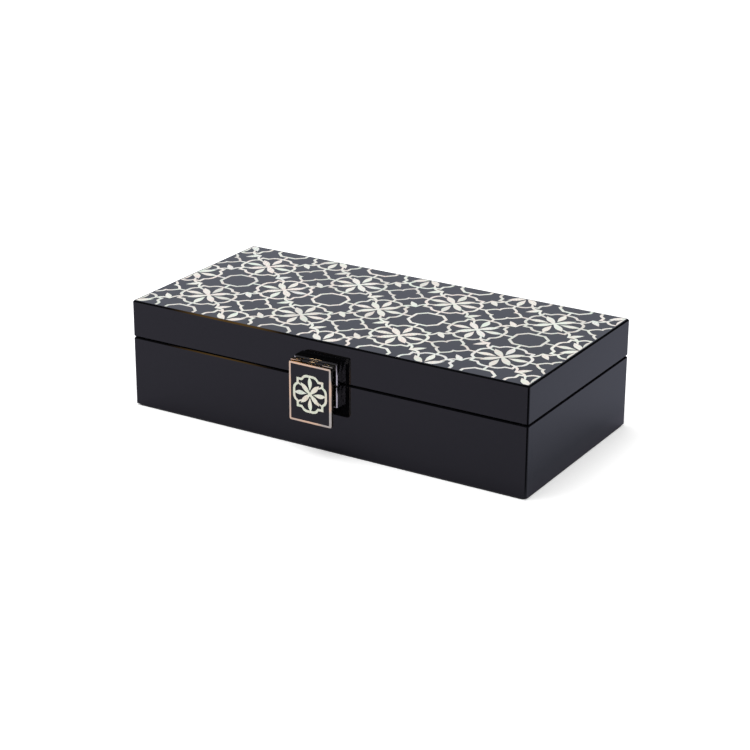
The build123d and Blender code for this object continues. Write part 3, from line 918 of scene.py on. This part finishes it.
# %% Several heads as one piece
def screw_group(name, places, screw, facing, body):
    """Heads of one radius and height; facing is the rotation that turns +Z to the way they look."""
    radius, height = screw
    whole = bmesh.new()
    for place_of_screw in places:
        bm = bmesh.new()
        put_there = Matrix.Translation(place_of_screw) @ facing
        screw_head(bm, radius, height, chance.uniform(0, math.pi), put_there)
        bmesh.ops.recalc_face_normals(bm, faces=bm.faces)
        part = bpy.data.meshes.new("screw")
        bm.to_mesh(part)
        bm.free()
        whole.from_mesh(part)
        bpy.data.meshes.remove(part)
    smooth_shade(add_piece(name, whole, steel, body))
    print(name, len(places), "screws")

# %% [markdown]
# The leaves are let into the rims, so their screws look up from the base and down from the lid. The
# housing's screws sit on its front face, hidden by the flap until it is lifted.

# %% Screws of the hinges
LOOK_UP = Matrix.Identity(4)
LOOK_DOWN = Matrix.Rotation(math.pi, 4, "X")
LEAF_SCREW = 1.35 * MM, 0.06 * MM       # radius and height
LEAF_SCREW_APART = 8 * MM       # from the middle of the leaf
LEAF_SCREW_BACK = 56.4 * MM
HINGE_LENGTH = 30 * MM

low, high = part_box("hinge_pins")
hinge_middles = low.x + HINGE_LENGTH / 2, high.x - HINGE_LENGTH / 2
for leaf, wall, facing, corner in (("hinge_base_leaves", "base_back_wall", LOOK_UP, 1),
                                   ("hinge_lid_leaves", "lid_back_wall", LOOK_DOWN, 0)):
    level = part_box(wall)[corner].z
    points = [(x + side * LEAF_SCREW_APART, LEAF_SCREW_BACK, level)
              for x in hinge_middles for side in (-1, 1)]
    screw_group(f"screws_{leaf}", points, LEAF_SCREW, facing, body_of(leaf))

# %% Screws of the clasp's housing
HOUSING_SCREW = 1.5 * MM, 0.5 * MM      # radius and height
HOUSING_SCREW_APART = 9.6 * MM  # from the clasp's middle
SCREW_DROPS = 7.4 * MM, 6.3 * MM        # below the top of each half

housing_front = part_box("latch_catch_block")[0].y
for half, drop in zip(HOUSING, SCREW_DROPS):
    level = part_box(half)[1].z - drop
    points = [(side * HOUSING_SCREW_APART, housing_front, level) for side in (-1, 1)]
    screw_group(f"screws_{half}", points, HOUSING_SCREW, TO_CLASP, body_of(half))

# %% [markdown]
# ## Floor, world and light
#
# The photograph has a pure white ground. A floor lit until it is white would wash out the box, so the
# floor keeps a pale colour that takes the shadow, and rays from the camera see a little glow added to
# it. Black gloss shows nothing but its surroundings, so what it sees of the floor matters more than
# the lamps. So gloss sees the floor in colours of its own, which are painted reflections: pale in front,
# and at the right end, which is seen at a flatter angle where gloss mirrors more, a grey painted shade
# beside it and a black painted reflection before the corner, which draws the upright edge.

# %% What gloss sees of the floor
# painted reflection: the floor's colour in front of the box, as only gloss sees it
PAINTED_REFLECTION_FRONT = (0.705, 0.68, 0.855)
# painted shade in the reflection: the grey beside the right end stands for shade on the ground there
PAINTED_SHADE_REFLECTION_RIGHT = (0.48, 0.495, 0.614)
SHADE_REFLECTION_EDGE = 0.120, 0.136                # in X, from where it starts to where it is full
# painted dark reflection before the front right corner, which draws the upright edge as a black line
PAINTED_DARK_REFLECTION = (0.02, 0.02, 0.024, 1)
DARK_REFLECTION_EDGE = -0.062, -0.070              # in Y, likewise

floor_material, tree, shader = start_material("floor", Roughness=0.9, Specular_IOR_Level=0.0)
coordinates = add(tree, "ShaderNodeTexCoord")
across = add(tree, "ShaderNodeSeparateXYZ")
in_shade_reflection = add(tree, "ShaderNodeMapRange", {"From Min": SHADE_REFLECTION_EDGE[0], "From Max": SHADE_REFLECTION_EDGE[1]})
in_dark_reflection = add(tree, "ShaderNodeMapRange", {"From Min": DARK_REFLECTION_EDGE[0], "From Max": DARK_REFLECTION_EDGE[1]})
both = add(tree, "ShaderNodeMath", operation="MULTIPLY")
# mixes the painted dark reflection over the painted front and shade colours
painted_reflections = add(tree, "ShaderNodeMix", {7: PAINTED_DARK_REFLECTION}, data_type="RGBA")
front_or_shade_reflection = ramp(tree, in_shade_reflection.outputs["Result"], (0.0, PAINTED_REFLECTION_FRONT), (1.0, PAINTED_SHADE_REFLECTION_RIGHT))
for start, end in ((coordinates.outputs["Object"], across.inputs["Vector"]),
                   (across.outputs["X"], in_shade_reflection.inputs["Value"]),
                   (across.outputs["Y"], in_dark_reflection.inputs["Value"]),
                   (in_shade_reflection.outputs["Result"], both.inputs[0]),
                   (in_dark_reflection.outputs["Result"], both.inputs[1]),
                   (both.outputs["Value"], painted_reflections.inputs["Factor"]),
                   (front_or_shade_reflection, painted_reflections.inputs[6])):
    tree.links.new(start, end)
print("floor cards:", len(tree.nodes), "nodes")

# %% What light and the eye see of the floor
FLOOR_COLOUR = (0.86, 0.86, 0.86, 1)
FLOOR_GLOW = 0.34

shader.inputs["Emission Color"].default_value = (1, 1, 1, 1)
light_path = add(tree, "ShaderNodeLightPath")
glow = add(tree, "ShaderNodeMath", {1: FLOOR_GLOW}, operation="MULTIPLY")
# only glossy rays see the painted reflections; light and the eye see the plain floor colour
mirrored = add(tree, "ShaderNodeMix", {6: FLOOR_COLOUR}, data_type="RGBA")
for start, end in ((light_path.outputs["Is Camera Ray"], glow.inputs[0]),
                   (glow.outputs["Value"], shader.inputs["Emission Strength"]),
                   (light_path.outputs["Is Glossy Ray"], mirrored.inputs["Factor"]),
                   (painted_reflections.outputs[2], mirrored.inputs[7]),
                   (mirrored.outputs[2], shader.inputs["Base Color"])):
    tree.links.new(start, end)
print("floor:", len(tree.nodes), "nodes")

# %% Floor
FLOOR_HALF = 6.0

bm = bmesh.new()
bmesh.ops.create_grid(bm, x_segments=1, y_segments=1, size=FLOOR_HALF)
mesh = bpy.data.meshes.new("floor")
bm.to_mesh(mesh)
bm.free()
mesh.materials.append(floor_material)
floor_object = bpy.data.objects.new("floor", mesh)
bpy.context.scene.collection.objects.link(floor_object)
print("floor", 2 * FLOOR_HALF, "m wide")

# %% [markdown]
# The rest of the studio is the world. It could be an image of a room, but a few blended tones by
# direction say the same. A pale, slightly cool sweep stands behind the box, and the lid mirrors it.
# The room behind the camera is dim, and the clasp's top mirrors it by way of the wall behind it. The
# ceiling and the corner behind at the right are dark, and the rounded edges mirror those, which
# draws the thin black lines along the box.

# %% World: the room round the box
SWEEP = (0.70, 0.735, 0.875, 1)
DIM_ROOM = (0.14, 0.14, 0.15, 1)
DIM_FULL, DIM_START = -0.45, 0.0        # in Y of the direction, where the dim room is full and starts
DARK_CORNER = (0.02, 0.02, 0.024, 1)
SWEEP_END, DARK_FULL = 0.10, 0.28       # in X of the direction, where the dark starts and is full
CEILING = (0.05, 0.05, 0.06, 1)
CEILING_START, CEILING_FULL = 0.39, 0.44        # in Z of the direction

world = bpy.data.worlds.new("studio")
bpy.context.scene.world = world
world.use_nodes = True
tree = world.node_tree
background = tree.nodes["Background"]
direction = add(tree, "ShaderNodeTexCoord")
looking = add(tree, "ShaderNodeSeparateXYZ")
to_the_back = add(tree, "ShaderNodeMapRange", {"From Min": DIM_FULL, "From Max": DIM_START},
                  interpolation_type="SMOOTHSTEP")
to_the_right = add(tree, "ShaderNodeMapRange", {"From Min": SWEEP_END, "From Max": DARK_FULL},
                   interpolation_type="SMOOTHSTEP")
rise = add(tree, "ShaderNodeMapRange", {"From Min": CEILING_START, "From Max": CEILING_FULL},
           interpolation_type="SMOOTHSTEP")
walls = add(tree, "ShaderNodeMix", {6: DIM_ROOM, 7: SWEEP}, data_type="RGBA")
round_the_room = add(tree, "ShaderNodeMix", {7: DARK_CORNER}, data_type="RGBA")
studio = add(tree, "ShaderNodeMix", {7: CEILING}, data_type="RGBA")
for start, end in ((direction.outputs["Generated"], looking.inputs["Vector"]),
                   (looking.outputs["Y"], to_the_back.inputs["Value"]),
                   (to_the_back.outputs["Result"], walls.inputs["Factor"]),
                   (looking.outputs["X"], to_the_right.inputs["Value"]),
                   (to_the_right.outputs["Result"], round_the_room.inputs["Factor"]),
                   (walls.outputs[2], round_the_room.inputs[6]),
                   (looking.outputs["Z"], rise.inputs["Value"]),
                   (rise.outputs["Result"], studio.inputs["Factor"]),
                   (round_the_room.outputs[2], studio.inputs[6])):
    tree.links.new(start, end)
print("room:", len(tree.nodes), "nodes")

# %% [markdown]
# Two small warm lamps high at the left put glints on the edges that face them. They are spots of
# colour in what gloss sees of the world, and not lamp objects, so nothing else is tinted by them.

# %% World: two warm lamps that only gloss sees
WARM_LAMPS = (                          # direction, colour, and the degrees to their core and rim
    ((-0.548, -0.340, 0.765), (3.2, 1.8, 0.5), 0.3, 1.7),       # seen by the chamfers left of the clasp
    ((-0.510, 0.082, 0.855), (5.5, 3.9, 2.3), 3.0, 5.0))        # seen by the clasp's eased edges

seen = studio.outputs[2]
for lamp_direction, colour, core, rim in WARM_LAMPS:
    towards = add(tree, "ShaderNodeVectorMath", operation="DOT_PRODUCT")
    towards.inputs[1].default_value = Vector(lamp_direction).normalized()
    on_lamp = add(tree, "ShaderNodeMapRange", {"From Min": math.cos(math.radians(rim)),
                                               "From Max": math.cos(math.radians(core))},
                  interpolation_type="SMOOTHSTEP")
    with_lamp = add(tree, "ShaderNodeMix", {7: (*colour, 1)}, data_type="RGBA")
    tree.links.new(direction.outputs["Generated"], towards.inputs[0])
    tree.links.new(towards.outputs["Value"], on_lamp.inputs["Value"])
    tree.links.new(on_lamp.outputs["Result"], with_lamp.inputs["Factor"])
    tree.links.new(seen, with_lamp.inputs[6])
    seen = with_lamp.outputs[2]
print("warm lamps:", len(WARM_LAMPS))

# %% World: one light for each kind of ray
DAYLIGHT = (0.80, 0.80, 0.80, 1)        # what lights the box
GROUND_WHITE = (1, 1, 1, 1)             # what the eye sees beyond the floor

for_eye = add(tree, "ShaderNodeMix", {7: GROUND_WHITE}, data_type="RGBA")
for_shine = add(tree, "ShaderNodeMix", {6: DAYLIGHT}, data_type="RGBA")
light_path = add(tree, "ShaderNodeLightPath")
shiny = add(tree, "ShaderNodeMath", operation="MAXIMUM")
for start, end in ((light_path.outputs["Is Glossy Ray"], shiny.inputs[0]),
                   (light_path.outputs["Is Transmission Ray"], shiny.inputs[1]),
                   (shiny.outputs["Value"], for_shine.inputs["Factor"]),
                   (seen, for_shine.inputs[7]),
                   (for_shine.outputs[2], for_eye.inputs[6]),
                   (light_path.outputs["Is Camera Ray"], for_eye.inputs["Factor"]),
                   (for_eye.outputs[2], background.inputs["Color"])):
    tree.links.new(start, end)
print("world:", len(tree.nodes), "nodes")

# %% [markdown]
# Daylight from all sides casts hardly a shadow. One large square lamp overhead, a little to the left
# and front, gives the soft one on the ground. Gloss doesn't see it, because the photograph shows no
# lamp in the lacquer.

# %% Overhead lamp
LAMP_PLACE = Vector((-0.5, -0.3, 1.9))
LAMP_SIZE = 1.6
LAMP_WATTS = 26.0

lamp_data = bpy.data.lights.new("overhead", "AREA")
lamp_data.size = LAMP_SIZE
lamp_data.energy = LAMP_WATTS
lamp = bpy.data.objects.new("overhead", lamp_data)
bpy.context.scene.collection.objects.link(lamp)
turn_to_box = LAMP_PLACE.to_track_quat("Z", "Y").to_matrix().to_4x4()
lamp.matrix_world = Matrix.Translation(LAMP_PLACE) @ turn_to_box
lamp.visible_glossy = False
bpy.context.scene.view_settings.view_transform = "Standard"
print("overhead lamp", round(LAMP_PLACE.length, 2), "m away")
